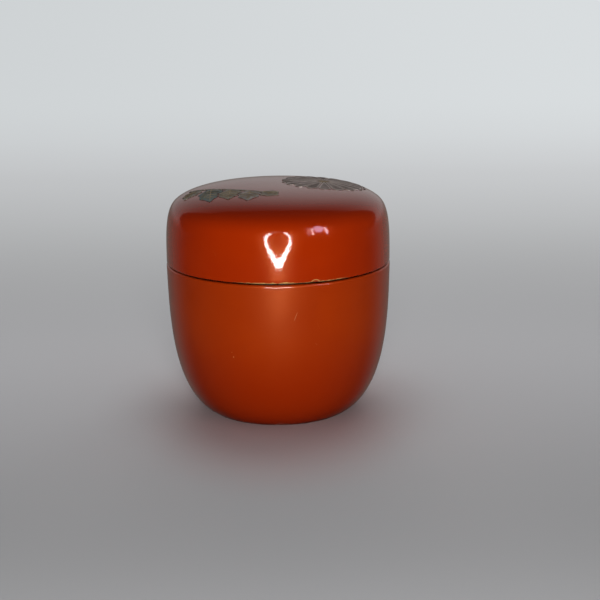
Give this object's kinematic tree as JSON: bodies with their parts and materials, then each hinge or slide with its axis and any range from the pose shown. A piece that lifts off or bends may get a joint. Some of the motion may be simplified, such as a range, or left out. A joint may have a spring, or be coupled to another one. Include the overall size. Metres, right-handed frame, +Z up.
{
  "type": "tea caddy",
  "caption": "Jujube-shaped tea caddy of lacquered wood, with a domed lid that fits over a standing lip and carries a raised chrysanthemum and leaf spray",
  "frame": {"origin": "centre of the base, on the surface that the caddy stands on", "axes": "+Z up the axis of the turning; the lid's flower lies towards +X and its leaves towards -X and -Y, the front"},
  "size_m": [0.066, 0.066, 0.0677],
  "materials": {
    "wood": "turned, bare under the coats",
    "vermilion_lacquer": "polished vermilion lacquer",
    "black_lacquer": "polished black lacquer",
    "dark_lacquer": "dark teal-grey powder set in lacquer",
    "silver_powder": "tarnished silver powder set in lacquer",
    "gold_powder": "dull gold powder lines",
    "dull_gold_powder": "worn olive-gold powder set in lacquer"
  },
  "bodies": {
    "cup": {"cup_wood": "wood", "cup_base_lacquer": "vermilion_lacquer", "cup_side_lacquer": "vermilion_lacquer", "cup_inner_lacquer": "black_lacquer"},
    "lid": {"lid_wood": "wood", "lid_inner_lacquer": "black_lacquer", "lid_outer_lacquer": "vermilion_lacquer", "flower_heart": "gold_powder", "petal_01": "silver_powder", "petal_02": "silver_powder", "petal_03": "silver_powder", "petal_04": "silver_powder", "petal_05": "silver_powder", "petal_06": "silver_powder", "petal_07": "silver_powder", "petal_08": "silver_powder", "petal_09": "silver_powder", "petal_10": "silver_powder", "petal_11": "silver_powder", "petal_12": "silver_powder", "petal_13": "silver_powder", "petal_14": "silver_powder", "petal_15": "silver_powder", "petal_16": "silver_powder", "petal_17": "silver_powder", "petal_18": "silver_powder", "stem": "dull_gold_powder", "leaf_grey": "silver_powder", "leaf_olive": "dull_gold_powder", "leaf_dark": "dark_lacquer", "leaf_end": "dull_gold_powder", "leaf_outer": "dull_gold_powder", "leaf_grey_veins": "gold_powder", "leaf_olive_veins": "gold_powder", "leaf_dark_veins": "gold_powder", "leaf_end_veins": "gold_powder", "leaf_outer_veins": "gold_powder"}
  },
  "joints": [
    {"name": "lid_lift", "type": "slide", "parent": "cup", "child": "lid", "axis": [0, 0, 1], "range_m": [0, 0.03]}
  ]
}
